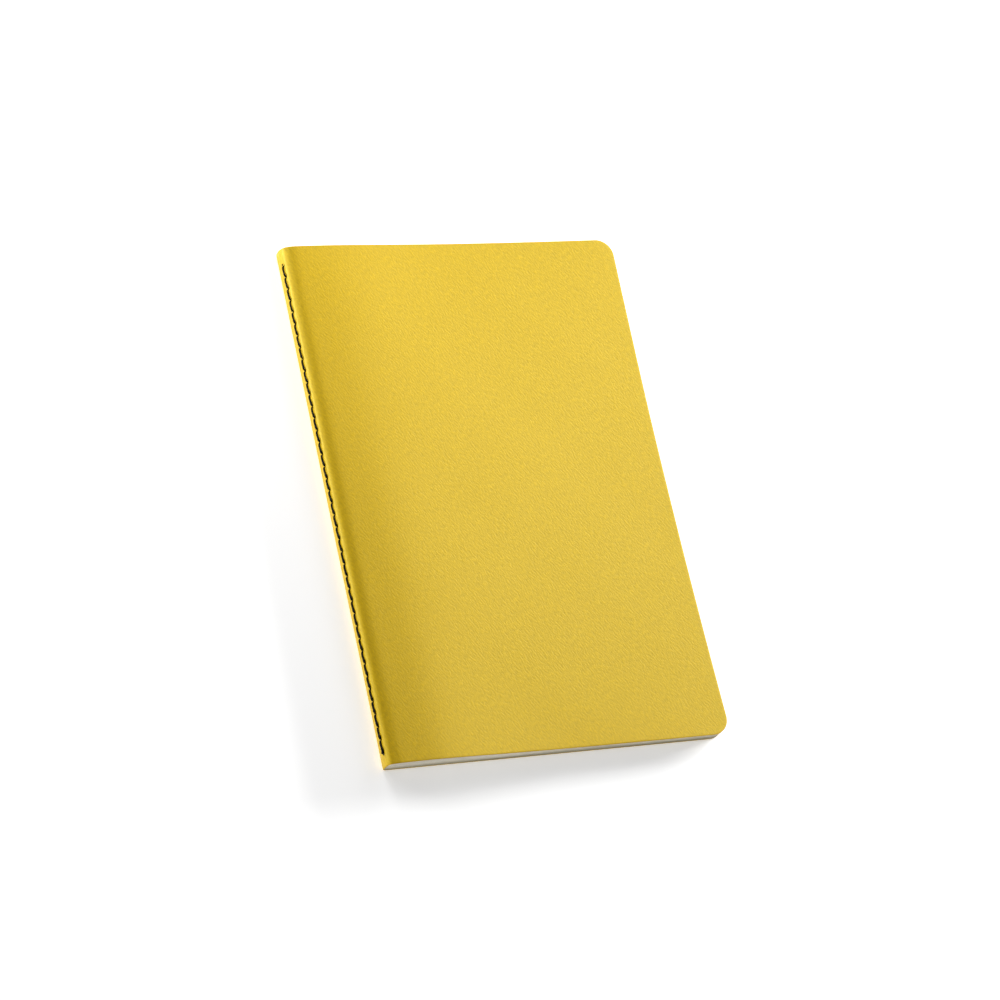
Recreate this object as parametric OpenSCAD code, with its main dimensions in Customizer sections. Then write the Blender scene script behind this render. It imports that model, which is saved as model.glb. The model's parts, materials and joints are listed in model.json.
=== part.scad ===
// Soft-cover notebook, closed and lying on its back cover.
// X runs from the spine to the fore edge, Y from the tail to the head, Z up.
// The section is drawn with its spine at x = 0 and is moved to the middle at the end.

/* [Covers] */
// Width of the closed notebook, from the spine to the fore edge
notebook_w = 140; // [100:1:210]
// Height of the notebook, from the tail to the head
notebook_h = 210; // [120:1:297]
// Radius of the two corners at the fore edge
corner_r = 7; // [3:0.5:12]
// Thickness of the cover card
card_t = 0.35; // [0.25:0.05:0.5]
// Gap between the cover card and the pages
cover_gap = 0.2; // [0.1:0.05:0.3]
// Distance of the back cover's crease from the spine
back_crease_x = 2; // [1.8:0.1:6]

/* [Pages] */
// Number of folded sheets, each of which makes two leaves
sheets = 20; // [14:1:32]
// Thickness of one leaf
leaf_t = 0.095; // [0.08:0.005:0.12]
// Radius of the open channel that runs along the middle fold
channel_r = 0.5; // [0.4:0.05:0.8]

/* [Crown] */
// How far the folded sheets lift the front cover's crown above its fore edge
crown_lift = 3.2; // [2.8:0.1:4]
// Distance of the crown from the spine
crown_x = 13; // [10:0.5:18]
// How far the crown stands above the front cover's crease
crown_rise = 0.6; // [0.4:0.1:0.8]
// Reach of the curve that leaves the crease towards the crown
crown_near = 1.7; // [1:0.1:1.8]
// Reach of the curve that arrives flat at the crown
crown_far = 8; // [5:0.5:8]
// Reach of the curve that leaves the crown towards the fore edge
fall_near = 26; // [12:1:34]
// Reach of the curve that arrives flat at the fore edge
fall_far = 86; // [40:1:90]

/* [Spine] */
// Radius of the edge between the spine and the back cover
back_edge_r = 1.4; // [1:0.1:1.6]
// Radius of the edge between the spine and the front cover
front_edge_r = 3.6; // [2.6:0.1:3.8]
// Turn of that edge from the upright spine to the front cover's crease
crease_turn = 70; // [66:1:76]
// How far the stitched fold lies above half the crown's height
fold_rise = 0.85; // [0.3:0.05:1]
// Depth of the groove that the thread pulls into the fold
groove_depth = 0.2; // [0.15:0.05:0.4]
// Half the width of that groove
groove_half = 1.3; // [0.9:0.1:1.5]

/* [Stitching] */
// Distance of the first needle hole from the head
head_margin = 7.2; // [4:0.2:15]
// Distance of the last needle hole from the tail
tail_margin = 5.2; // [4:0.2:15]
// Wanted length of one stitch
stitch_len = 4.94; // [4:0.02:8]
// Diameter of the thread where it lies on the spine
thread_d = 0.6; // [0.5:0.05:0.8]
// How much narrower the thread is inside the needle holes
hole_squeeze = 0.1; // [0.05:0.05:0.2]
// How much wider the thread's bend is at each needle hole
bend_swell = 0.2; // [0.1:0.05:0.3]
// How much wider than the bend the needle holes are
hole_play = 0.1; // [0.05:0.05:0.2]
// How far a stitch's ends lie to each side of the line of holes
stitch_slant = 0.24; // [0:0.02:0.3]
// Distance of a stitch's end from the hole that it enters
stitch_short = 0.14; // [0:0.02:0.2]
// Gap between a stitch and the card under it
stitch_gap = 0.05; // [0.03:0.01:0.1]
// Diameter of the knot at the tail end
knot_d = 1; // [0.9:0.05:1.3]

/* [Hidden] */

cover_colour = [0.83, 0.70, 0.17];
page_colour = [0.93, 0.90, 0.82];
thread_colour = [0.06, 0.06, 0.06];

// Steps of each curve, and the sides of a round
edge_steps = 10;
wall_steps = 10;
front_edge_steps = 18;
crown_steps = 12;
fall_steps = 32;
round_sides = 48;
// How far a cutting shape reaches past what it cuts
past = 1;

// Heights of the stack
pages_t = 2 * sheets * leaf_t;
fore_z = 2 * card_t + cover_gap + pages_t;
crown_z = fore_z + crown_lift;
crease_z = crown_z - crown_rise;
crease_x = front_edge_r * (1 - cos(crease_turn));
wall_top = crease_z - front_edge_r * sin(crease_turn);
fold_z = crown_z / 2 + fold_rise;
page_inset = card_t + cover_gap;

// Places along X at the fold: its outer face, the middle fold's channel, and where the threads meet
fold_x = edge_x(fold_z) + groove_depth;
channel_x = fold_x + page_inset + sheets * leaf_t + channel_r;
lock_x = (fold_x + channel_x) / 2;

// Stitching
bend_d = thread_d + bend_swell;
leg_d = thread_d - hole_squeeze;
hole_d = bend_d + hole_play;
stitch_span = notebook_h - head_margin - tail_margin;
stitches = round(stitch_span / stitch_len);
pitch = stitch_span / stitches;
stitch_x = fold_x - stitch_gap - thread_d / 2;
knot_x = fold_x - stitch_gap - knot_d / 2;
first_hole_y = notebook_h / 2 - head_margin;

// The spine's outermost point, and the shift that puts the middle of the box at x = 0
proud_x = min(0, knot_x - knot_d / 2, stitch_x - bend_d / 2);
middle_x = (notebook_w + proud_x) / 2;

function hole_y(i) = first_hole_y - i * pitch;

// How far the round front edge has drawn the spine in at height z
function edge_x(z) = z > wall_top ? front_edge_r - sqrt(pow(front_edge_r, 2) - pow(z - wall_top, 2)) : 0;

// Point on a cubic curve through a and d, with b and c as its handles
function cubic(a, b, c, d, t) =
    a * pow(1 - t, 3) + 3 * b * pow(1 - t, 2) * t + 3 * c * (1 - t) * pow(t, 2) + d * pow(t, 3);

// How far the thread pulls the fold in at height z
function groove(z) =
    abs(z - fold_z) < groove_half ? groove_depth * (1 + cos(180 * (z - fold_z) / groove_half)) / 2 : 0;

function unit(v) = v / norm(v);

// Points moved to the right of their path by the distance d
function inset(points, d) = [
    for (i = [0 : len(points) - 1])
        let (ahead = points[min(i + 1, len(points) - 1)], behind = points[max(i - 1, 0)])
            let (along = unit(ahead - behind)) points[i] + d * [along.y, -along.x]
];

function part_of(points, first, last) = [for (i = [first : last]) points[i]];

function backwards(points) = [for (i = [len(points) - 1 : -1 : 0]) points[i]];

// Outer face of the card, from the back crease round the spine to the fore edge of the front cover
back_flat = [[back_crease_x, 0]];
back_edge = [
    for (i = [0 : edge_steps])
        let (a = 270 - 90 * i / edge_steps) back_edge_r * [1 + cos(a), 1 + sin(a)]
];
wall = [for (i = [1 : wall_steps - 1]) [0, back_edge_r + (wall_top - back_edge_r) * i / wall_steps]];
front_edge = [
    for (i = [0 : front_edge_steps])
        let (a = 180 - crease_turn * i / front_edge_steps)
            [front_edge_r, wall_top] + front_edge_r * [cos(a), sin(a)]
];
spine_straight = concat(back_flat, back_edge, wall, front_edge);
spine_outer = [for (p = spine_straight) [p.x + groove(p.y), p.y]];

crease = [crease_x, crease_z];
crown = [crown_x, crown_z];
fore = [notebook_w, fore_z];
crease_handle = crease + crown_near * [1, 1 / tan(crease_turn)];
crown_curve = [
    for (i = [1 : crown_steps])
        cubic(crease, crease_handle, crown - [crown_far, 0], crown, i / crown_steps)
];
fall_curve = [
    for (i = [1 : fall_steps])
        cubic(crown, crown + [fall_near, 0], fore - [fall_far, 0], fore, i / fall_steps)
];
outer = concat(spine_outer, crown_curve, fall_curve);
card_inner = inset(outer, card_t);
page_outer = inset(outer, page_inset);
crease_i = len(spine_outer) - 1;
last_i = len(outer) - 1;

// The pages' own lower edge, which lies on the back cover
page_edge_r = back_edge_r - page_inset;
page_edge = [
    for (i = [0 : edge_steps])
        let (a = 270 - 90 * i / edge_steps) [back_edge_r, card_t + page_edge_r] + page_edge_r * [cos(a), sin(a)]
];
page_wall_i = len(back_flat) + len(back_edge);
page_outline = concat(
    [[notebook_w, card_t]],
    page_edge,
    part_of(page_outer, page_wall_i, last_i - 1),
    [[notebook_w, card_t + pages_t]]
);

// A section in X and Z, drawn out over the whole height of the notebook
module along_y() {
    rotate([90, 0, 0]) linear_extrude(notebook_h, center = true) children();
}

// A strip of card between two points of the outer face
module card_strip(first, last) {
    along_y() polygon(concat(part_of(outer, first, last), backwards(part_of(card_inner, first, last))));
}

// One corner at the fore edge, outside its round; side is 1 at the head and -1 at the tail
module corner_waste(side) {
    tall = crown_z + 2 * past;
    reach = corner_r + past;
    centre_x = notebook_w - corner_r;
    centre_y = side * (notebook_h / 2 - corner_r);
    difference() {
        translate([centre_x, side > 0 ? centre_y : centre_y - reach, -past]) cube([reach, reach, tall]);
        translate([centre_x, centre_y, -2 * past])
            cylinder(h = tall + 2 * past, r = corner_r, $fn = 2 * round_sides);
    }
}

module round_corners() {
    difference() {
        children();
        for (side = [-1, 1]) corner_waste(side);
    }
}

module needle_holes() {
    for (i = [0 : stitches])
        translate([-past, hole_y(i), fold_z])
            rotate([0, 90, 0]) cylinder(h = channel_x + past, d = hole_d, $fn = round_sides);
}

// A round bar from a to b
module bar(a, b, d) {
    along = b - a;
    translate(a)
        rotate([0, acos(along.z / norm(along)), atan2(along.y, along.x)])
            cylinder(h = norm(along), d = d, $fn = round_sides);
}

module front_cover() {
    color(cover_colour) translate([-middle_x, 0, 0])
        round_corners() card_strip(crease_i, last_i);
}

module spine() {
    color(cover_colour) translate([-middle_x, 0, 0])
        difference() {
            card_strip(0, crease_i);
            needle_holes();
        }
}

module back_cover() {
    color(cover_colour) translate([-middle_x, 0, 0])
        round_corners()
            translate([back_crease_x, -notebook_h / 2, 0])
                cube([notebook_w - back_crease_x, notebook_h, card_t]);
}

// All the folded sheets as one block, with the channel along the middle fold
module pages() {
    color(page_colour) translate([-middle_x, 0, 0])
        difference() {
            round_corners() along_y() polygon(page_outline);
            needle_holes();
            translate([channel_x, notebook_h / 2 + past, fold_z])
                rotate([90, 0, 0]) cylinder(h = notebook_h + 2 * past, r = channel_r, $fn = round_sides);
        }
}

// The thread outside: one stitch from hole to hole, and a leg into each hole
module spine_thread() {
    color(thread_colour) translate([-middle_x, 0, 0]) {
        for (i = [0 : stitches]) {
            translate([stitch_x, hole_y(i), fold_z]) sphere(d = bend_d, $fn = round_sides);
            bar([stitch_x, hole_y(i), fold_z], [lock_x, hole_y(i), fold_z], leg_d);
        }
        for (i = [0 : stitches - 1])
            bar(
                [stitch_x, hole_y(i) - stitch_short, fold_z - stitch_slant],
                [stitch_x, hole_y(i + 1) + stitch_short, fold_z + stitch_slant],
                thread_d
            );
        translate([knot_x, hole_y(stitches) - bend_d / 2, fold_z]) sphere(d = knot_d, $fn = round_sides);
    }
}

// The thread inside: one run along the middle fold, and a leg out into each hole
module inner_thread() {
    color(thread_colour) translate([-middle_x, 0, 0]) {
        bar([channel_x, hole_y(0) + leg_d, fold_z], [channel_x, hole_y(stitches) - leg_d, fold_z], thread_d);
        for (i = [0 : stitches])
            bar([lock_x, hole_y(i), fold_z], [channel_x, hole_y(i), fold_z], leg_d);
    }
}

front_cover();
spine();
back_cover();
pages();
spine_thread();
inner_thread();
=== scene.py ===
"""Soft-cover notebook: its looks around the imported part. Metres, in the part's own frame."""
import json
import math
import random

import bmesh
import bpy
import numpy as np
from mathutils import Matrix, Vector


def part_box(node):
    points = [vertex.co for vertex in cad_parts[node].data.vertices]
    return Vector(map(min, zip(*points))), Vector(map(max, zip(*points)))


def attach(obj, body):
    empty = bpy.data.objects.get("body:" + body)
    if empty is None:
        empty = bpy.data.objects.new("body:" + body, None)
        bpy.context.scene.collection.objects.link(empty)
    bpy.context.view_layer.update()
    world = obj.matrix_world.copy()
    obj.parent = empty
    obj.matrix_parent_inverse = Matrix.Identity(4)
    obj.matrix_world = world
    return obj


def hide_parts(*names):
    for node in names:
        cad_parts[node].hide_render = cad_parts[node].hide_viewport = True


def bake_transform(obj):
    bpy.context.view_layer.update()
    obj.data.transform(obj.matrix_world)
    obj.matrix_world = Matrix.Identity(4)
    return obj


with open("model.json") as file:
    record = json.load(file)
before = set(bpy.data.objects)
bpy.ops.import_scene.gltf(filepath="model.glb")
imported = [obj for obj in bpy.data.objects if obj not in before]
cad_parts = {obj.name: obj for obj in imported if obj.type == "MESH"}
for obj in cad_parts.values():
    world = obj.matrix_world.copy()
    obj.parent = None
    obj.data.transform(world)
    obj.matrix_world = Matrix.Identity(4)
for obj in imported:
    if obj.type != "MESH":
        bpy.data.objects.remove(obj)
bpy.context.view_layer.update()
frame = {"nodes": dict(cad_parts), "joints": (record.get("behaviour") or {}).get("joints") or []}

MM = 0.001

# Camera: where it stands, the point it looks at, its roll and its lens
CAMERA_AT = Vector((-509.2, -451.8, 1100.0)) * MM
CAMERA_AIM = Vector((0.39, -2.02, 0.0)) * MM
CAMERA_ROLL = math.radians(40.318)
LENS = 122.04
SENSOR = 36.0

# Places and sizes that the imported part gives
JOINT_AT = {joint["name"]: Vector(joint["pos_m"]) for joint in frame["joints"]}
FRONT_CREASE = JOINT_AT["front_cover_hinge"]
BACK_CREASE = JOINT_AT["back_cover_hinge"]
SPINE_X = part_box("spine")[0].x
FORE_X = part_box("front_cover")[1].x
CROWN_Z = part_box("front_cover")[1].z
HALF_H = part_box("front_cover")[1].y
CARD_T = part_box("back_cover")[1].z

# The section's other sizes, as the part has them
CORNER_R = 7.0 * MM
FORE_Z = 4.7 * MM
CROWN_X = SPINE_X + 13.0 * MM
CROWN_NEAR = 1.7 * MM
CROWN_FAR = 8.0 * MM
FALL_NEAR = 26.0 * MM
FALL_FAR = 86.0 * MM
BACK_EDGE_R = 1.4 * MM
FRONT_EDGE_R = 3.6 * MM
CREASE_TURN = math.radians(70.0)
GROOVE_DEPTH = 0.2 * MM
GROOVE_HALF = 1.3 * MM
COVER_GAP = 0.2 * MM
FOLD_Z = CROWN_Z / 2 + 0.85 * MM
WALL_TOP = FRONT_CREASE.z - FRONT_EDGE_R * math.sin(CREASE_TURN)
FOLD_TURN = math.asin((FOLD_Z - WALL_TOP) / FRONT_EDGE_R)
FOLD_X = SPINE_X + FRONT_EDGE_R * (1 - math.cos(FOLD_TURN)) + GROOVE_DEPTH

# The seam, as the part has it
HEAD_MARGIN = 7.2 * MM
TAIL_MARGIN = 5.2 * MM
STITCHES = 40
FIRST_HOLE_Y = HALF_H - HEAD_MARGIN
PITCH = (2 * HALF_H - HEAD_MARGIN - TAIL_MARGIN) / STITCHES

# The pages
SHEETS = 20
CHANNEL_TIP = 2.8 * MM      # from the spine to where the middle fold begins
TURN_X = 6.0 * MM           # from the spine to where the sheets lie flat
PAGE_INSET = CARD_T + COVER_GAP

# The front cover's free edges, against a plain extrusion
EDGE_REACH = 90.0 * MM      # how far in from the fore edge they move
EDGE_SAG = 0.6 * MM         # how low the middle of the fore edge hangs
CORNER_LIFT = 0.5 * MM      # how high its two corners stand
EDGE_DRAW = 0.75 * MM       # how far in the middle of the fore edge lies
HEAD_OUT = 0.35 * MM        # how far out its head corner lies

# The crest beside the spine, against a plain extrusion
CREST_RISE = -0.2 * MM      # how high it stands in the middle
CREST_LEAN = 0.25 * MM      # how much higher it is at the head, and lower at the tail
CREST_NEAR = (0.5 * MM, 4.0 * MM)      # where the shift sets in, from the spine
CREST_FAR = (3.0 * MM, 24.0 * MM)      # where it fades out
RIPPLE_NEAR = (3.0 * MM, 12.0 * MM)    # where the cover's waves set in

# The stitched fold, against a plain extrusion
SEAM_RISE = 0.13 * MM       # how high it lies in the middle
SEAM_LEAN = 0.38 * MM       # how much higher it is at the head, and lower at the tail
LEAN_REACH = 2.3 * MM       # how far above and below it the card leans with it
SEAM_FADE = 3.0 * MM        # how far past the last holes the thread still pulls
DIMPLE_R = 0.42 * MM
DIMPLE_DEPTH = 0.28 * MM
HOLE_PULL = 0.15 * MM       # how far a dimple lies to the head of its hole

# The card's trimmed edges
ROLL_WIDTH = 0.4 * MM
ROLL_DEPTH = 0.14           # share of the card's thickness by which its outer face rolls in
EDGE_SHADE_WIDTH = 0.8 * MM        # width of the painted shade: a darker line along the trimmed edges

# Where the covers bend as they open
BEND_REACH = 6.0 * MM

# The card's grain, whose streaks slant across the cover
GRAIN_SLANT = math.radians(-59)
GRAIN_NARROW = 0.36

# The sheets' trimmed edges
TRIM_SCATTER = 0.06 * MM    # how far in one sheet lies against the next
SHEET_GAP = 0.07 * MM       # how far in the air between two sheets is drawn
WIDE_GAP = 0.16 * MM        # the same where two sheets stand apart
WIDE_GAPS = 0.22            # share of the sheets that stand apart
EDGE_WANDER = 0.012 * MM
PAINTED_LOW_SHADE = 0.36             # painted shade: the sheets' edges' brightness at the back cover, where little light gets in

# The outer thread
THREAD_R = 0.375 * MM
THREAD_SPREAD = 0.14        # share by which it is wider at the knot and thinner at its start
THREAD_SINK = 0.03 * MM     # how far it presses into the groove
DEEP_X = SPINE_X + 1.1 * MM    # how deep it goes into the needle holes


def hole_y(i):
    """Where needle hole i lies along the spine, counted from the head."""
    return FIRST_HOLE_Y - i * PITCH


def cubic(a, b, c, d, steps):
    """Points on the cubic curve through a and d with handles b and c, without the first one."""
    t = np.linspace(0, 1, steps + 1)[1:, None]
    a, b, c, d = (np.array(p, float) for p in (a, b, c, d))
    return a * (1 - t) ** 3 + 3 * b * (1 - t) ** 2 * t + 3 * c * (1 - t) * t ** 2 + d * t ** 3


def smooth(x, low, high):
    """0 up to low and 1 from high on, with a soft step between them."""
    t = np.clip((np.asarray(x, float) - low) / (high - low), 0, 1)
    return t * t * (3 - 2 * t)


def edge_in(z):
    """How far the round front edge has drawn the spine in at height z."""
    above = np.clip(np.asarray(z, float) - WALL_TOP, 0, None)
    return FRONT_EDGE_R - np.sqrt(FRONT_EDGE_R ** 2 - above ** 2)


def fold_at(y):
    """Height of the stitched fold at y, which leans a little from the tail to the head."""
    return FOLD_Z + SEAM_RISE + SEAM_LEAN * np.asarray(y, float) / HALF_H


def groove(z, fold=FOLD_Z):
    """Share of the groove's depth at height z."""
    off = np.abs(np.asarray(z, float) - fold) / GROOVE_HALF
    return np.where(off < 1, (1 + np.cos(np.pi * np.clip(off, 0, 1))) / 2, 0.0)


def unit(vectors):
    """Each row's vector at a length of one."""
    return vectors / np.linalg.norm(vectors, axis=1)[:, None]


def lengths_along(path):
    """The path's length up to each of its points."""
    return np.r_[0, np.cumsum(np.linalg.norm(np.diff(path, axis=0), axis=1))]


def inset(points, distance):
    """Points moved to the right of their path in the x-z plane."""
    along = unit(np.gradient(points, axis=0))
    return points + distance * np.c_[along[:, 1], -along[:, 0]]


def arc(centre, radius, start, end, steps):
    """Points on a circle from one angle to another, in degrees."""
    a = np.radians(np.linspace(start, end, steps + 1))
    return np.c_[centre[0] + radius * np.cos(a), centre[1] + radius * np.sin(a)]


def corner_stations(steps=12):
    """Values of x across the rounded corners, closer together towards the fore edge."""
    a = np.linspace(0, math.pi / 2, steps + 1)[1:]
    return FORE_X - CORNER_R + CORNER_R * np.sin(a)


def crown_line(steps):
    """The front cover's outer face from its crease to the fore edge."""
    crease = (FRONT_CREASE.x, FRONT_CREASE.z)
    handle = (crease[0] + CROWN_NEAR, crease[1] + CROWN_NEAR / math.tan(CREASE_TURN))
    crown = (CROWN_X, CROWN_Z)
    rise = cubic(crease, handle, (CROWN_X - CROWN_FAR, CROWN_Z), crown, steps)
    fall_start, fall_end = (CROWN_X + FALL_NEAR, CROWN_Z), (FORE_X - FALL_FAR, FORE_Z)
    fall = cubic(crown, fall_start, fall_end, (FORE_X, FORE_Z), 6 * steps)
    return np.vstack([[crease], rise, fall])


CROWN_LINE = crown_line(60)


def top_z(x):
    """Height of the front cover's outer face at x, from the crease to the fore edge."""
    return np.interp(x, CROWN_LINE[:, 0], CROWN_LINE[:, 1])


def front_half():
    """Stations of the front half of the card, from the stitched fold to the fore edge."""
    start, end = 180 - math.degrees(FOLD_TURN), 180 - math.degrees(CREASE_TURN)
    edge = arc((SPINE_X + FRONT_EDGE_R, WALL_TOP), FRONT_EDGE_R, start, end, 17)
    near = np.linspace(FRONT_CREASE.x, CROWN_X, 15)[1:]
    far = np.linspace(CROWN_X, FORE_X - CORNER_R, 42)[1:]
    panel = np.r_[near, far, corner_stations()]
    return np.vstack([edge, np.c_[panel, top_z(panel)]])


def back_half():
    """Stations of the back half of the card, from the stitched fold to the fore edge."""
    z = np.linspace(FOLD_Z, BACK_EDGE_R, 17)[:-1]
    wall = np.c_[SPINE_X + edge_in(z), z]
    edge = arc((SPINE_X + BACK_EDGE_R, BACK_EDGE_R), BACK_EDGE_R, 180, 270, 9)
    near = np.linspace(BACK_CREASE.x, SPINE_X + TURN_X + BEND_REACH, 10)
    far = np.linspace(near[-1], FORE_X - CORNER_R, 24)[1:]
    panel = np.r_[near, far, corner_stations()]
    return np.vstack([wall, edge, np.c_[panel, np.zeros(len(panel))]])


def inward(x, y):
    """Distance of a point from the card's trimmed edges, in plan."""
    past_x = x - (FORE_X - CORNER_R)
    past_y = np.abs(y) - (HALF_H - CORNER_R)
    in_corner = (past_x > 0) & (past_y > 0)
    straight = np.minimum(FORE_X - x, HALF_H - np.abs(y))
    return np.where(in_corner, CORNER_R - np.hypot(past_x, past_y), straight)


def half_width(x):
    """Half the notebook's height at x, which the rounded corners cut down."""
    into = np.clip(np.asarray(x, float) - (FORE_X - CORNER_R), 0, CORNER_R)
    return HALF_H - CORNER_R + np.sqrt(CORNER_R ** 2 - into ** 2)


def plan_normal(x, side):
    """The trimmed edge's outward direction in plan at x; side is 1 at the head and -1 at the tail."""
    into = np.clip((np.asarray(x, float) - (FORE_X - CORNER_R)) / CORNER_R, 0, 1)
    return into, side * np.sqrt(1 - into ** 2)


def ease_of_edge(x, y, share):
    """How far the stack moves in x and z near its fore edge; share is 1 at the front cover, 0 at the back."""
    reach = smooth(x, FORE_X - EDGE_REACH, FORE_X) * share
    along = np.asarray(y, float) / HALF_H
    middle = 1 - along ** 2
    ends = np.abs(along) ** 3
    draw = HEAD_OUT * smooth(along, 0.1, 0.75) - EDGE_DRAW * middle
    return draw * reach, (CORNER_LIFT * ends - EDGE_SAG * middle) * reach


def crest_shift(x, y):
    """How far the crest beside the spine stands higher at the head and lower at the tail."""
    into = np.asarray(x, float) - SPINE_X
    near = smooth(into, *CREST_NEAR) * (1 - smooth(into, *CREST_FAR))
    return (CREST_RISE + CREST_LEAN * np.asarray(y, float) / HALF_H) * near


def ripple(x, y):
    """Slow, shallow waves in the card's surface."""
    # Each wave's height, its lengths along x and y in mm, and its phase
    waves = ((0.016, 67, 91, 0.4), (0.010, -51, 74, 1.9), (0.005, 33, 37, 2.7), (0.003, 19, -33, 5.1))
    total = 0
    for height, long_x, long_y, phase in waves:
        turns = x / (long_x * MM) + y / (long_y * MM)
        total = total + height * MM * np.sin(2 * np.pi * turns + phase)
    return total


def seam_pull(y, z):
    """How far the seam pulls the card in at a point of the spine."""
    first, last = hole_y(0), hole_y(STITCHES)
    sewn = smooth(y, last - SEAM_FADE, last) * (1 - smooth(y, first, first + SEAM_FADE))
    beat = np.cos(2 * np.pi * (y - FIRST_HOLE_Y) / PITCH)
    unsewn, beat_share = 0.6, 0.1       # shares of the groove's depth
    depth = GROOVE_DEPTH * (unsewn + sewn * (1 - unsewn + beat_share * beat))
    nearest = np.clip(np.round((FIRST_HOLE_Y - y) / PITCH), 0, STITCHES)
    from_hole = np.hypot(y - (FIRST_HOLE_Y - nearest * PITCH) - HOLE_PULL, z - fold_at(y))
    dimple = DIMPLE_DEPTH * np.exp(-((from_hole / DIMPLE_R) ** 2))
    return depth * groove(z, fold_at(y)) + dimple


def seam_rows():
    """Values of y from tail to head, closer together at each needle hole and at the trimmed edges."""
    shares = (0.0, 0.05, 0.1, 0.17, 0.28, 0.5, 0.72, 0.83, 0.9, 0.95)
    rows = [hole_y(i) - share * PITCH for i in range(STITCHES) for share in shares]
    rows.append(hole_y(STITCHES))
    for margin_end, hole in ((HALF_H, hole_y(0)), (-HALF_H, hole_y(STITCHES))):
        rows += list(np.linspace(hole, margin_end, 6)[1:])
        rows += [margin_end * (1 - back * MM / HALF_H) for back in (0.1, 0.25, 0.45, 0.8)]
    return np.array(sorted(rows))


def grid_faces(index):
    """Quads over a two-way table of vertex numbers."""
    a, b, c, d = index[:-1, :-1], index[1:, :-1], index[1:, 1:], index[:-1, 1:]
    return np.stack([a, b, c, d], axis=-1).reshape(-1, 4).tolist()


def linked(name, data):
    """A new object with this data, in the scene."""
    thing = bpy.data.objects.new(name, data)
    bpy.context.scene.collection.objects.link(thing)
    return thing


def joined(parts):
    """The points and faces of several parts as those of one mesh."""
    points, faces, base = [], [], 0
    for new_points, new_faces in parts:
        faces += [[n + base for n in face] for face in new_faces]
        points.append(new_points)
        base += len(new_points)
    return np.vstack(points), faces


def finished_mesh(name, points, faces, sharp=35):
    """A smooth-shaded object with its faces turned outwards and its sharp edges marked."""
    mesh = bpy.data.meshes.new(name)
    mesh.from_pydata([tuple(p) for p in points], [], faces)
    work = bmesh.new()
    work.from_mesh(mesh)
    bmesh.ops.recalc_face_normals(work, faces=work.faces)
    work.to_mesh(mesh)
    work.free()
    mesh.polygons.foreach_set("use_smooth", [True] * len(mesh.polygons))
    mesh.set_sharp_from_angle(angle=math.radians(sharp))
    mesh.update()
    return linked(name, mesh)


def keep_values(thing, name, values):
    """Stores one number or one vector for each vertex, for the material to read."""
    values = np.asarray(values, np.float32)
    kind, field = ("FLOAT", "value") if values.ndim == 1 else ("FLOAT_VECTOR", "vector")
    thing.data.attributes.new(name, kind, "POINT").data.foreach_set(field, values.ravel())


def card_face(stations, into_card, rows, front):
    """The outer face's x, y and z, as tables of stations by rows; into_card points into the card."""
    y = rows[None, :] / HALF_H * half_width(stations[:, :1])
    x = np.repeat(stations[:, :1], len(rows), axis=1)
    flat_z = np.repeat(stations[:, 1:], len(rows), axis=1)
    upright = smooth(into_card[:, 0], 0.2, 0.9)[:, None]
    near_fold = 1 - smooth(np.abs(flat_z - FOLD_Z), 0, LEAN_REACH)
    near_fold = np.where(x < SPINE_X + FRONT_EDGE_R, near_fold, 0)
    z = flat_z + (fold_at(y) - FOLD_Z) * near_fold
    x = x + edge_in(np.minimum(z, FRONT_CREASE.z)) - edge_in(np.minimum(flat_z, FRONT_CREASE.z))
    x = x + seam_pull(y, z) * upright
    if front:
        draw, lift = ease_of_edge(x, y, 1.0)
        settle = smooth(x - SPINE_X, *RIPPLE_NEAR)
        x, z = x + draw, z + lift + crest_shift(x, y) + ripple(x, y) * settle
    return x, y, z


def closed_sheet(outer, inner):
    """Points and faces of a closed sheet between two faces, which are tables of points."""
    count_j, count_k = outer.shape[:2]
    top = np.arange(count_j * count_k).reshape(count_j, count_k)
    under = top + count_j * count_k
    faces = grid_faces(top) + grid_faces(under)
    for side in (np.s_[:, 0], np.s_[:, -1], np.s_[0, :], np.s_[-1, :]):
        faces += grid_faces(np.stack([top[side], under[side]]))
    return np.vstack([outer.reshape(-1, 3), inner.reshape(-1, 3)]), faces


def card_sheet(name, stations, front):
    """One half of the folded card: a closed thin sheet from the stitched fold to its trimmed edges."""
    turn = 1 if front else -1
    into_card = (inset(stations, turn * CARD_T) - stations) / CARD_T
    x, y, z = card_face(stations, into_card, seam_rows(), front)
    thick = np.c_[into_card[:, 0], np.zeros(len(stations)), into_card[:, 1]][:, None, :] * CARD_T
    outer = np.stack([x, y, z], axis=-1)
    inner = outer + thick

    from_rim = inward(stations[:, :1], y)
    past_rim = 1 - smooth(from_rim, -ROLL_WIDTH, ROLL_WIDTH)       # a half on the rim itself
    outer = outer + (2 * ROLL_DEPTH * past_rim)[:, :, None] * thick
    sheet = finished_mesh(name, *closed_sheet(outer, inner))

    run = turn * lengths_along(stations)[:, None] * np.ones_like(y)
    place = np.stack([run, y, np.zeros_like(y)], axis=-1).reshape(-1, 3)
    keep_values(sheet, "place", np.vstack([place, place + [0, 0, 20 * MM]]))
    # painted shade along the outer face's trimmed edges, none on the inner face
    painted_edge_shade = 1 - smooth(from_rim, 0, EDGE_SHADE_WIDTH)
    keep_values(sheet, "painted_edge_shade", np.r_[painted_edge_shade.ravel(), np.zeros(painted_edge_shade.size)])
    return sheet


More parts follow.
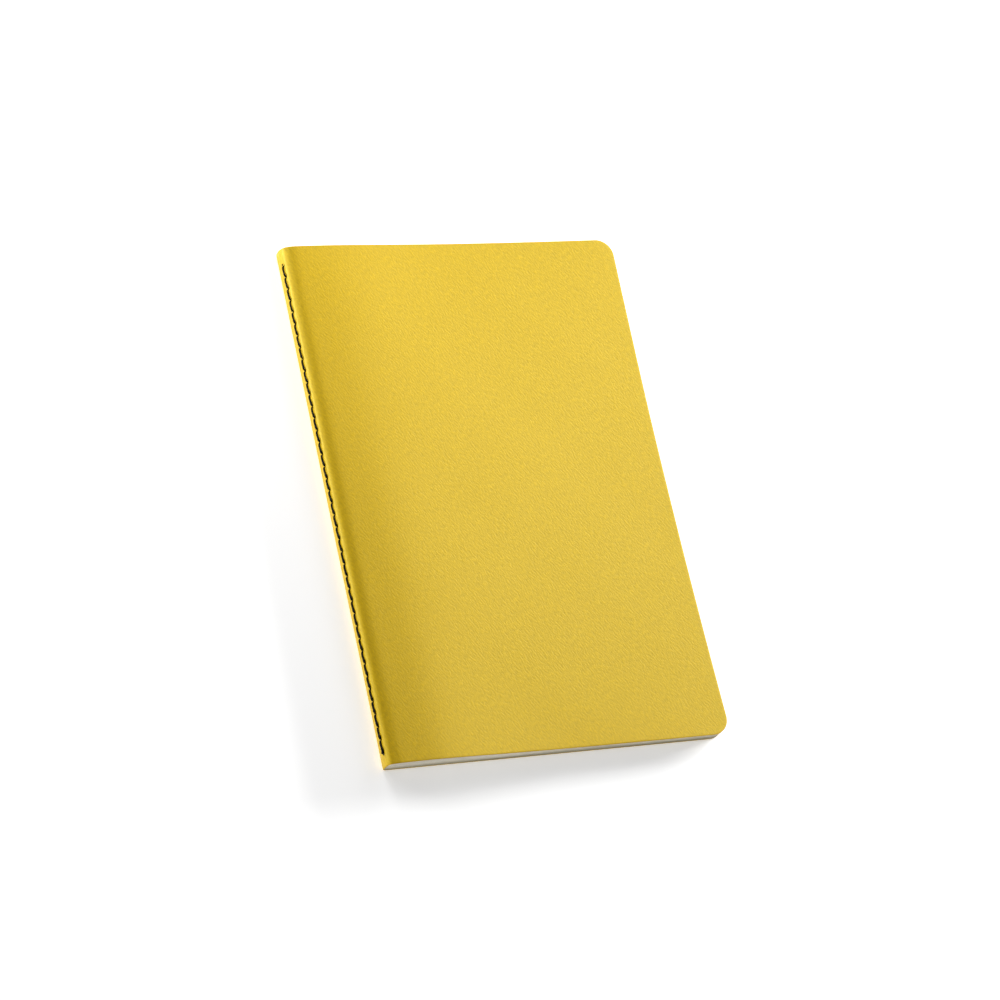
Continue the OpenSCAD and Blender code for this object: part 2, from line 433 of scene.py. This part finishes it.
def inside_of_cover():
    """The cover's inner line from the back edge to the fore edge, and its first point past the crease."""
    wall = np.c_[np.full(30, SPINE_X), np.linspace(BACK_EDGE_R, WALL_TOP, 31)[:-1]]
    crease_at = 180 - math.degrees(CREASE_TURN)
    edge = arc((SPINE_X + FRONT_EDGE_R, WALL_TOP), FRONT_EDGE_R, 180, crease_at, 16)
    rest = np.linspace(FRONT_CREASE.x, FORE_X, 400)[1:]
    outline = np.vstack([wall, edge, np.c_[rest, top_z(rest)]])
    outline[:, 0] += GROOVE_DEPTH * groove(outline[:, 1])
    return inset(outline, PAGE_INSET), len(wall) + len(edge)


COVER_INSIDE, PAST_CREASE = inside_of_cover()


def pages_top(x):
    """Height of the uppermost page at x."""
    return np.interp(x, COVER_INSIDE[PAST_CREASE:, 0], COVER_INSIDE[PAST_CREASE:, 1])


def outer_turn(turn_x, count=41):
    """The outermost sheet's path round the spine, which starts and ends at turn_x."""
    foot_r = BACK_EDGE_R - PAGE_INSET
    foot = arc((SPINE_X + BACK_EDGE_R, CARD_T + foot_r), foot_r, 270, 180, 6)
    turn = np.vstack([[(turn_x, CARD_T)], foot, COVER_INSIDE[: PAST_CREASE + 20]])
    past_foot = 40
    turn = turn[: np.argmax(turn[past_foot:, 0] > turn_x) + past_foot]
    turn = np.vstack([turn, [(turn_x, pages_top(turn_x))]])
    length = lengths_along(turn)
    along = np.linspace(0, length[-1], count)
    return np.c_[np.interp(along, length, turn[:, 0]), np.interp(along, length, turn[:, 1])]


def middle_z(x):
    """Height of the book's middle at x: the fold's own at the spine, and half the stack's further out."""
    tip_x, turn_x = SPINE_X + CHANNEL_TIP, SPINE_X + TURN_X
    level = (CARD_T + pages_top(np.maximum(x, turn_x))) / 2
    return FOLD_Z + (level - FOLD_Z) * smooth(x, tip_x, turn_x + 12 * MM)


def slit(x):
    """Half the gap in the middle of the book at x: round where the inner thread runs, then closed."""
    channel_half, round_over, fade, leaf_gap = 0.42, 0.5, 1.1, 0.02        # in mm
    into = np.clip((x - SPINE_X - CHANNEL_TIP) / MM, 0, None)
    opening = channel_half * np.sqrt(np.clip(into / round_over, 0, 1)) * np.exp(-into / fade)
    return MM * (opening + leaf_gap)


def page_paths():
    """The outermost sheet's and the middle fold's paths, from the lower to the upper fore edge."""
    tip_x, turn_x = SPINE_X + CHANNEL_TIP, SPINE_X + TURN_X
    flat = np.r_[corner_stations()[::-1], np.linspace(FORE_X - CORNER_R, turn_x, 46)]
    out, back = flat[:-1], flat[-2::-1]
    outer_path = np.vstack([
        np.c_[out, np.full(len(out), CARD_T)],
        outer_turn(turn_x),
        np.c_[back, pages_top(back)],
    ])

    side = np.linspace(-1, 1, 41)
    fold_x = tip_x + (turn_x - tip_x) * np.abs(side)
    fold_path = np.vstack([
        np.c_[out, middle_z(out) - slit(out)],
        np.c_[fold_x, middle_z(fold_x) + np.sign(side) * slit(fold_x)],
        np.c_[back, middle_z(back) + slit(back)],
    ])
    return outer_path, fold_path


def leaf_rows(rng):
    """Rows through the sheets from the middle fold out: (share, how far in the trimmed edge lies, tone with
    painted shade).
    """
    dip = 0.01 * MM
    rows = []
    for sheet in range(SHEETS):
        stands_in = rng.uniform(0, 1) * TRIM_SCATTER
        gap = WIDE_GAP if rng.random() < WIDE_GAPS else SHEET_GAP
        tone = rng.uniform(0.9, 1.0)
        # painted shade: the row at each gap between sheets, and the dips beside it, are darker where shade
        # falls between the sheets
        for share, extra, shade in ((0.0, gap, 0.62), (0.2, dip, 0.95), (0.5, 0, 1.0), (0.8, dip, 0.95)):
            rows.append(((sheet + share) / SHEETS, stands_in + extra, tone * shade))
    rows.append((1.0, 2 * dip, 0.9))
    return rows


class PageBlock:
    """The sheets as a table of points: rows through them, stations along their path, slices to the head."""

    def __init__(self, rng):
        self.outer_path, self.fold_path = page_paths()
        self.lower = leaf_rows(rng)
        self.upper = leaf_rows(rng)
        self.phases = [[rng.uniform(0, 2 * math.pi) for _ in range(3)] for _ in self.lower]
        self.share_y = np.r_[-1.0, np.linspace(-0.985, 0.985, 72), 1.0]
        self.last_row = len(self.lower) - 1
        self.last_station = len(self.outer_path) - 1
        self.last_slice = len(self.share_y) - 1
        self.number = {}
        self.points, self.tones, self.places = [], [], []

    def row_at(self, i, j):
        """Row i at station j, where the halves of the book meet at the fold: (share, how far in, tone with
        painted shade).
        """
        is_upper = j > (self.last_station + 1) / 2
        share, stands_in, tone = (self.upper if is_upper else self.lower)[i]
        other = (self.lower if is_upper else self.upper)[i]
        near_fold = 1 - abs(2 * j / self.last_station - 1)
        mix = float(smooth(near_fold, 0.55, 1.0)) / 2
        return share, stands_in * (1 - mix) + other[1] * mix, tone

    def trimmed(self, i, x, y, stands_in, at_end):
        """A point of the head's, tail's or fore edge, set in as its sheet is and a little uneven."""
        travel = (x if at_end else y) / MM
        slow, quick = self.phases[i][:2]
        waves = math.sin(travel / 9 + slow) + 0.5 * math.sin(travel / 3.1 + quick)
        stands_in += EDGE_WANDER * (1 + waves)
        if not at_end:
            return x - stands_in, y
        across, up = plan_normal(x, 1 if y > 0 else -1)
        return x - float(across) * stands_in, y - float(up) * stands_in

    def add_point(self, i, j, k):
        """Row i, station j and slice k as a point, with its tone and painted shade and its place for the
        paper's fibres.
        """
        share, stands_in, tone = self.row_at(i, j)
        flat_x, z = self.fold_path[j] * (1 - share) + self.outer_path[j] * share
        x, y = flat_x, self.share_y[k] * float(half_width(flat_x))
        in_stack = float(np.clip((z - CARD_T) / (FORE_Z - 2 * CARD_T), 0, 1))
        draw, lift = ease_of_edge(x, y, in_stack)
        at_end = k in (0, self.last_slice)
        if at_end or j in (0, self.last_station):
            # painted shade: the trimmed edges are darker towards the back cover, where less light gets in
            tone *= PAINTED_LOW_SHADE + (1 - PAINTED_LOW_SHADE) * float(smooth(in_stack, -0.1, 1.0))
            x, y = self.trimmed(i, x, y, stands_in, at_end)
        else:
            tone = 1.0
        crest = float(crest_shift(x, y)) * float(smooth(z, CARD_T, CROWN_Z - CARD_T))
        self.points.append((x + float(draw), y, z + float(lift) + crest))
        self.tones.append(tone)
        self.places.append((flat_x, y, 0.05 * i * MM))

    def vertex(self, key):
        """The number of the point at row, station and slice, which is made when it is first asked for."""
        if key not in self.number:
            self.number[key] = len(self.points)
            self.add_point(*key)
        return self.number[key]

    def side(self, table):
        """Faces over a two-way table of (row, station, slice)."""
        return grid_faces(np.array([[self.vertex(key) for key in line] for line in table]))

    def faces(self):
        """The faces of all six sides."""
        rows, stations, slices = (range(n + 1) for n in (self.last_row, self.last_station, self.last_slice))
        faces = []
        for i in (0, self.last_row):
            faces += self.side([[(i, j, k) for k in slices] for j in stations])
        for k in (0, self.last_slice):
            faces += self.side([[(i, j, k) for j in stations] for i in rows])
        for j in (0, self.last_station):
            faces += self.side([[(i, j, k) for k in slices] for i in rows])
        return faces


def page_block():
    """All the sheets as one block, nested round the middle fold, each a ridge along the trimmed edges."""
    block = PageBlock(random.Random(7))
    faces = block.faces()
    thing = finished_mesh("page_block", block.points, faces, sharp=50)
    keep_values(thing, "tone", block.tones)
    keep_values(thing, "place", block.places)
    return thing


def tube(path, radius, sides=7):
    """Points and faces of a closed round tube along a path; radius is one number for each point."""
    path = np.asarray(path, float)
    along = unit(np.gradient(path, axis=0))
    across = np.cross(along[0], (0.3, 0.2, 0.93))
    rings = []
    for place, direction, r in zip(path, along, radius):
        across = across - direction * (across @ direction)
        across /= np.linalg.norm(across)
        up = np.cross(direction, across)
        a = np.linspace(0, 2 * np.pi, sides, endpoint=False)[:, None]
        rings.append(place + r * (np.cos(a) * across + np.sin(a) * up))
    points = np.vstack(rings + [path[:1], path[-1:]])
    index = np.arange(len(path) * sides).reshape(len(path), sides)
    faces = grid_faces(np.c_[index, index[:, :1]])
    first, last = len(points) - 2, len(points) - 1
    for s in range(sides):
        following = (s + 1) % sides
        faces.append([int(index[0, following]), int(index[0, s]), first])
        faces.append([int(index[-1, s]), int(index[-1, following]), last])
    return points, faces


def resample(path, step):
    """The same path in even steps, with the length up to each of its points."""
    length = lengths_along(path)
    along = np.linspace(0, length[-1], max(4, int(round(length[-1] / step)) + 1))
    return np.stack([np.interp(along, length, path[:, n]) for n in range(3)], axis=1), along


def smooth_path(points, steps=14):
    """A curve through all the points, with each tangent set by its neighbours."""
    p = np.array(points, float)
    p = np.vstack([2 * p[0] - p[1], p, 2 * p[-1] - p[-2]])
    out = []
    for a, b, c, d in zip(p[:-3], p[1:-2], p[2:-1], p[3:]):
        for t in np.linspace(0, 1, steps, endpoint=False):
            out.append(0.5 * (2 * b + (c - a) * t + (2 * a - 5 * b + 4 * c - d) * t ** 2
                              + (3 * b - a - 3 * c + d) * t ** 3))
    out.append(p[-2])
    return np.array(out)


def twisted(path, thread_r, swell, phase, plies=3, lay=1.9 * MM, step=0.17 * MM):
    """Twisted plies along a path, as points and faces; swell gives their width at each share of the path."""
    path, along = resample(path, step)
    width = np.array([swell(s) for s in along / along[-1]])
    tangent = unit(np.gradient(path, axis=0))
    side = unit(np.cross(tangent, (0.0, 0.25, 0.97)))
    up = np.cross(tangent, side)
    ply_off, ply_r = 0.5, 0.53      # shares of the thread's radius
    off = (ply_off * thread_r * width)[:, None]
    made = []
    for ply in range(plies):
        a = phase + 2 * np.pi * (along / lay + ply / plies)
        line = path + off * (np.cos(a)[:, None] * side + np.sin(a)[:, None] * up)
        made.append(tube(line, ply_r * thread_r * width))
    return joined(made)


def thread_at(y):
    """The outer thread's radius at y, where it lies wider towards its knot, and its centre's x."""
    radius = THREAD_R * (1 - THREAD_SPREAD * y / HALF_H)
    return radius, FOLD_X + THREAD_SINK - radius


def stitch_width(s):
    """The thread's width along a stitch: thin behind its first hole, and swollen before the next one."""
    return 1 - 0.1 * math.exp(-((s - 0.14) / 0.08) ** 2) + 0.22 * math.exp(-((s - 0.72) / 0.09) ** 2)


def stitch(i, rng):
    """The slanted stitch from needle hole i to the next one."""
    upper = hole_y(i)
    swing = 1 + rng.uniform(-0.2, 0.2)
    bow = rng.uniform(-0.03, 0.05) * MM
    thread_r, rest_x = thread_at(upper)
    # Each place along it: its x, its share of the way to the next hole, and its height over the fold in mm
    places = (
        (DEEP_X, 0.02, -0.12),
        (rest_x + 0.40 * MM, 0.035, -0.16),
        (rest_x + 0.05 * MM, 0.09, -0.21),
        (rest_x - 0.01 * MM, 0.22, -0.24),
        (rest_x - 0.02 * MM, 0.40, -0.15),
        (rest_x - 0.03 * MM, 0.53, 0.02),
        (rest_x - 0.06 * MM, 0.66, 0.26),
        (rest_x - 0.05 * MM, 0.77, 0.34),
        (rest_x + 0.04 * MM, 0.84, 0.20),
        (rest_x + 0.36 * MM, 0.885, -0.02),
        (DEEP_X, 0.90, -0.12),
    )
    path = smooth_path([
        (x, upper - s * PITCH, fold_at(upper - s * PITCH) + off * swing * MM + bow * math.sin(math.pi * s))
        for x, s, off in places
    ], steps=8)
    return twisted(path, thread_r, stitch_width, rng.uniform(0, 2 * math.pi))


def thread_start():
    """The bent end that comes out of the first needle hole, towards the head."""
    head = hole_y(0)
    thread_r, rest_x = thread_at(head)
    path = smooth_path([
        (DEEP_X, head + 0.02 * MM, fold_at(head)),
        (rest_x + 0.25 * MM, head + 0.06 * MM, fold_at(head) + 0.02 * MM),
        (rest_x, head + 0.42 * MM, fold_at(head) + 0.16 * MM),
        (rest_x + 0.10 * MM, head + 0.66 * MM, fold_at(head) + 0.72 * MM),
    ])
    return twisted(path, thread_r * 0.85, lambda s: 1 - 0.25 * s, 0.7)


def thread_knot():
    """The knot over the last needle hole, and its short tail."""
    last = hole_y(STITCHES)
    thread_r, rest_x = thread_at(last)
    knot_at = np.array([rest_x - 0.02 * MM, last + 0.25 * MM, fold_at(last) + 0.02 * MM])
    loop_r, loop_depth = 0.17 * MM, 0.10 * MM
    t = np.linspace(0, 2 * np.pi, 90)
    loops = np.stack([
        -loop_depth * np.sin(3 * t),
        loop_r * (np.sin(t) + 2 * np.sin(2 * t)),
        loop_r * (np.cos(t) - 2 * np.cos(2 * t)),
    ], axis=1)
    tail = smooth_path([
        knot_at + np.array([0.05, -0.20, 0.10]) * MM,
        knot_at + np.array([-0.02, -0.75, 0.35]) * MM,
        knot_at + np.array([0.06, -1.30, 0.75]) * MM,
    ])
    return [
        twisted(knot_at + loops, thread_r * 0.8, lambda s: 1.0, 0.3),
        twisted(tail, thread_r * 0.7, lambda s: 1 - 0.45 * s, 1.1),
    ]


def seam_thread():
    """The black thread outside: a stitch from each needle hole to the next, its start and its knot."""
    rng = random.Random(3)
    parts = [stitch(i, rng) for i in range(STITCHES)]
    parts += [thread_start(), *thread_knot()]
    return finished_mesh("seam_thread", *joined(parts), sharp=60)


# Materials
class Shader:
    """A material's node tree with short calls for the nodes that this scene uses."""

    def __init__(self, name, **values):
        self.material = bpy.data.materials.new(name)
        self.material.use_nodes = True
        self.tree = self.material.node_tree
        self.surface = self.tree.nodes["Principled BSDF"]
        for socket, value in values.items():
            self.surface.inputs[socket.replace("_", " ")].default_value = value

    def node(self, kind, inputs=(), **settings):
        """A new node, with values or links for its inputs and values for its own settings."""
        made = self.tree.nodes.new("ShaderNode" + kind)
        for setting, value in settings.items():
            setattr(made, setting, value)
        for socket, value in dict(inputs).items():
            self.put(value, made.inputs[socket])
        return made

    def put(self, value, socket):
        """Gives an input either a link or a fixed value."""
        if isinstance(value, bpy.types.NodeSocket):
            self.tree.links.new(value, socket)
        else:
            socket.default_value = value

    def attribute(self, name, output="Vector"):
        return self.node("Attribute", attribute_name=name).outputs[output]

    def turned(self, vector, angle, scale):
        """vector turned about z by angle and stretched."""
        return self.node(
            "Mapping", {"Vector": vector, "Rotation": (0, 0, angle), "Scale": scale}, vector_type="TEXTURE",
        ).outputs["Vector"]

    def noise(self, vector, scale, detail=3.0, roughness=0.5, distortion=0.0):
        return self.node(
            "TexNoise", {"Vector": vector, "Scale": scale, "Detail": detail, "Roughness": roughness,
                         "Distortion": distortion},
        ).outputs["Fac"]

    def remap(self, value, low, high, to_low, to_high):
        """value taken from one range to another and held there; a noise lies mostly within 0.3 to 0.7."""
        return self.node(
            "MapRange",
            {"Value": value, "From Min": low, "From Max": high, "To Min": to_low, "To Max": to_high},
        ).outputs["Result"]

    def math(self, operation, a, b):
        made = self.node("Math", operation=operation)
        self.put(a, made.inputs[0])
        self.put(b, made.inputs[1])
        return made.outputs[0]

    def mix(self, share, a, b, blend="MIX"):
        made = self.node("Mix", data_type="RGBA", blend_type=blend)
        self.put(share, made.inputs["Factor"])
        self.put(a, made.inputs[6])
        self.put(b, made.inputs[7])
        return made.outputs[2]

    def bump(self, height, distance, strength=1.0, normal=None):
        made = self.node("Bump", {"Height": height, "Distance": distance, "Strength": strength})
        if normal is not None:
            self.put(normal, made.inputs["Normal"])
        return made.outputs["Normal"]


def card_material():
    """Matte yellow card, dyed through, with a fine slanting grain, a slow mottle and a darker line of painted
    shade along its trimmed edges.
    """
    s = Shader("yellow_card", Roughness=0.47, Specular_IOR_Level=1.0, Specular_Tint=(1.0, 1.0, 0.3, 1))
    place = s.attribute("place")
    slant = s.turned(place, GRAIN_SLANT, (1.0, GRAIN_NARROW, 1.0))
    grain = s.noise(slant, 600, detail=3.0, roughness=0.62, distortion=0.3)
    pebble = s.noise(place, 2100, detail=2.0, roughness=0.5)
    mottle = s.noise(place, 230, detail=4.0, roughness=0.55)
    deep = (0.520, 0.318, 0.0005, 1)
    light = (0.740, 0.482, 0.0020, 1)
    colour = s.mix(s.remap(grain, 0.3, 0.7, 0.05, 0.95), deep, light)
    colour = s.mix(s.remap(mottle, 0.3, 0.7, 0.0, 0.22), colour, deep)
    # painted shade: a deeper, darker yellow along the outer face's trimmed edges
    painted_edge_shade = s.attribute("painted_edge_shade", "Fac")
    edge_shade_colour = (0.570, 0.335, 0.0005, 1)
    colour = s.mix(s.math("MULTIPLY", painted_edge_shade, 0.8), colour, edge_shade_colour)
    s.put(colour, s.surface.inputs["Base Color"])
    s.put(s.remap(mottle, 0.3, 0.7, 0.45, 0.51), s.surface.inputs["Roughness"])
    relief = s.bump(grain, 0.08 * MM, 1.0)
    relief = s.bump(pebble, 0.03 * MM, 0.7, relief)
    s.put(relief, s.surface.inputs["Normal"])
    return s.material


def paper_material():
    """Uncoated ivory paper; its trimmed edges keep each sheet's own tone, under painted shade that darkens
    and browns them towards the back cover and between the sheets.
    """
    s = Shader("ivory_paper", Roughness=0.85, IOR=1.4)
    place = s.attribute("place")
    fibre = s.noise(s.turned(place, 0.4, (1.0, 0.5, 1.0)), 1800, detail=4.0, roughness=0.6)
    cloud = s.noise(place, 120, detail=3.0)
    tone = s.attribute("tone", "Fac")
    colour = s.mix(s.remap(fibre, 0.3, 0.7, 0.0, 0.5), (0.84, 0.80, 0.70, 1), (0.76, 0.71, 0.60, 1))
    colour = s.mix(s.remap(cloud, 0.3, 0.7, 0.0, 0.2), colour, (0.72, 0.67, 0.56, 1))
    # painted shade: the stored tone and shade darken the trimmed edges, browner as they darken
    shade = s.node("CombineColor", {
        "Red": tone, "Green": s.math("POWER", tone, 1.1), "Blue": s.math("POWER", tone, 1.5),
    }).outputs["Color"]
    colour = s.mix(1.0, colour, shade, "MULTIPLY")
    s.put(colour, s.surface.inputs["Base Color"])
    s.put(s.bump(fibre, 0.02 * MM, 0.5), s.surface.inputs["Normal"])
    return s.material


def thread_material():
    """Black waxed thread with a little fibre along its plies."""
    s = Shader("black_thread", Roughness=0.6, Specular_IOR_Level=0.12)
    place = s.node("TexCoord").outputs["Object"]
    fibre = s.noise(place, 9000, detail=3.0, roughness=0.6)
    wear = s.noise(place, 900, detail=2.0)
    black, grey = (0.002, 0.002, 0.002, 1), (0.009, 0.0085, 0.008, 1)
    colour = s.mix(s.remap(fibre, 0.35, 0.65, 0.0, 1.0), black, grey)
    colour = s.mix(s.remap(wear, 0.4, 0.8, 0.0, 0.5), colour, (0.009, 0.008, 0.007, 1))
    s.put(colour, s.surface.inputs["Base Color"])
    s.put(s.remap(wear, 0.3, 0.7, 0.55, 0.7), s.surface.inputs["Roughness"])
    s.put(s.bump(fibre, 0.02 * MM, 0.7), s.surface.inputs["Normal"])
    return s.material


def floor_material():
    """Plain pale studio floor, lit a little from below as a light table is."""
    s = Shader("pale_floor", Roughness=0.8, Emission_Color=(1, 1, 1, 1), Emission_Strength=0.45)
    drift = s.noise(s.node("TexCoord").outputs["Object"], 3.0, detail=2.0)
    s.put(s.mix(drift, (0.90, 0.90, 0.90, 1), (0.93, 0.93, 0.93, 1)), s.surface.inputs["Base Color"])
    return s.material


# The studio
def area_light(name, azimuth, elevation, distance, size, power, aim=(0, 0, 0)):
    """A soft panel that faces its aim from a direction in degrees; azimuth 0 is +X and 90 is the head."""
    data = bpy.data.lights.new(name, "AREA")
    data.shape = "RECTANGLE"
    data.size, data.size_y = size
    data.energy = power
    light = linked(name, data)
    a, e = math.radians(azimuth), math.radians(elevation)
    away = Vector((math.cos(e) * math.cos(a), math.cos(e) * math.sin(a), math.sin(e)))
    light.location = Vector(aim) + distance * away
    light.rotation_euler = (-away).to_track_quat("-Z", "Y").to_euler()
    light.visible_camera = False


def build_camera():
    """The photo's camera, looking down on the notebook where it lies."""
    data = bpy.data.cameras.new("camera")
    data.sensor_width = SENSOR
    data.sensor_fit = "HORIZONTAL"
    data.lens = LENS
    data.clip_end = 20
    camera = linked("camera", data)
    forward = (CAMERA_AIM - CAMERA_AT).normalized()
    right = forward.cross(Vector((0, 0, 1))).normalized()
    up = right.cross(forward)
    rolled_right = math.cos(CAMERA_ROLL) * right + math.sin(CAMERA_ROLL) * up
    rolled_up = math.cos(CAMERA_ROLL) * up - math.sin(CAMERA_ROLL) * right
    turn = Matrix((rolled_right, rolled_up, -forward)).transposed()
    camera.matrix_world = Matrix.Translation(CAMERA_AT) @ turn.to_4x4()
    bpy.context.scene.camera = camera


def build_light():
    """Six soft panels, most of them low, and a faint white world."""
    world = bpy.data.worlds.new("studio")
    world.use_nodes = True
    background = world.node_tree.nodes["Background"]
    background.inputs["Color"].default_value = (1, 1, 1, 1)
    background.inputs["Strength"].default_value = 0.02
    bpy.context.scene.world = world
    area_light("key", 20, 9, 1.2, (0.6, 0.2), 44.0)
    area_light("spine_light", 142, 5, 1.2, (0.5, 0.15), 13.2)
    area_light("head_light", 115, 30, 0.5, (0.3, 0.3), 2.25, (-0.05, 0.1, 0))
    area_light("high_light", 20, 45, 1.2, (0.6, 0.5), 1.2)
    area_light("corner_light", 40, 25, 0.55, (0.3, 0.3), 1.2, (0.05, 0.05, 0))
    area_light("tail_light", -90, 12, 1.2, (0.5, 0.2), 5.0)
    bpy.context.scene.view_settings.view_transform = "Standard"


def build_floor():
    """A plain square of floor under the notebook."""
    mesh = bpy.data.meshes.new("floor")
    far = 3.0
    mesh.from_pydata([(-far, -far, 0), (far, -far, 0), (far, far, 0), (-far, far, 0)], [], [(0, 1, 2, 3)])
    floor = linked("floor", mesh)
    mesh.materials.append(floor_material())


build_camera()
card = card_material()
paper = paper_material()
thread = thread_material()

# The folded card: the front cover with the spine's upper part, and the back cover with its lower part
front_card = card_sheet("front_card", front_half(), True)
front_card.data.materials.append(card)
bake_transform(front_card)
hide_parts("front_cover", "spine")

back_card = card_sheet("back_card", back_half(), False)
back_card.data.materials.append(card)
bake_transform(back_card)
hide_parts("back_cover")

# The pages
sheets = page_block()
sheets.data.materials.append(paper)
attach(sheets, "block")
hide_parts("pages")

# The seam: the outer thread, and the part's own inner thread with the same material
stitches = seam_thread()
stitches.data.materials.append(thread)
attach(stitches, "block")
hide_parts("spine_thread")

inner_thread = frame["nodes"]["inner_thread"]
inner_thread.data.materials.clear()
inner_thread.data.materials.append(thread)

build_light()
build_floor()
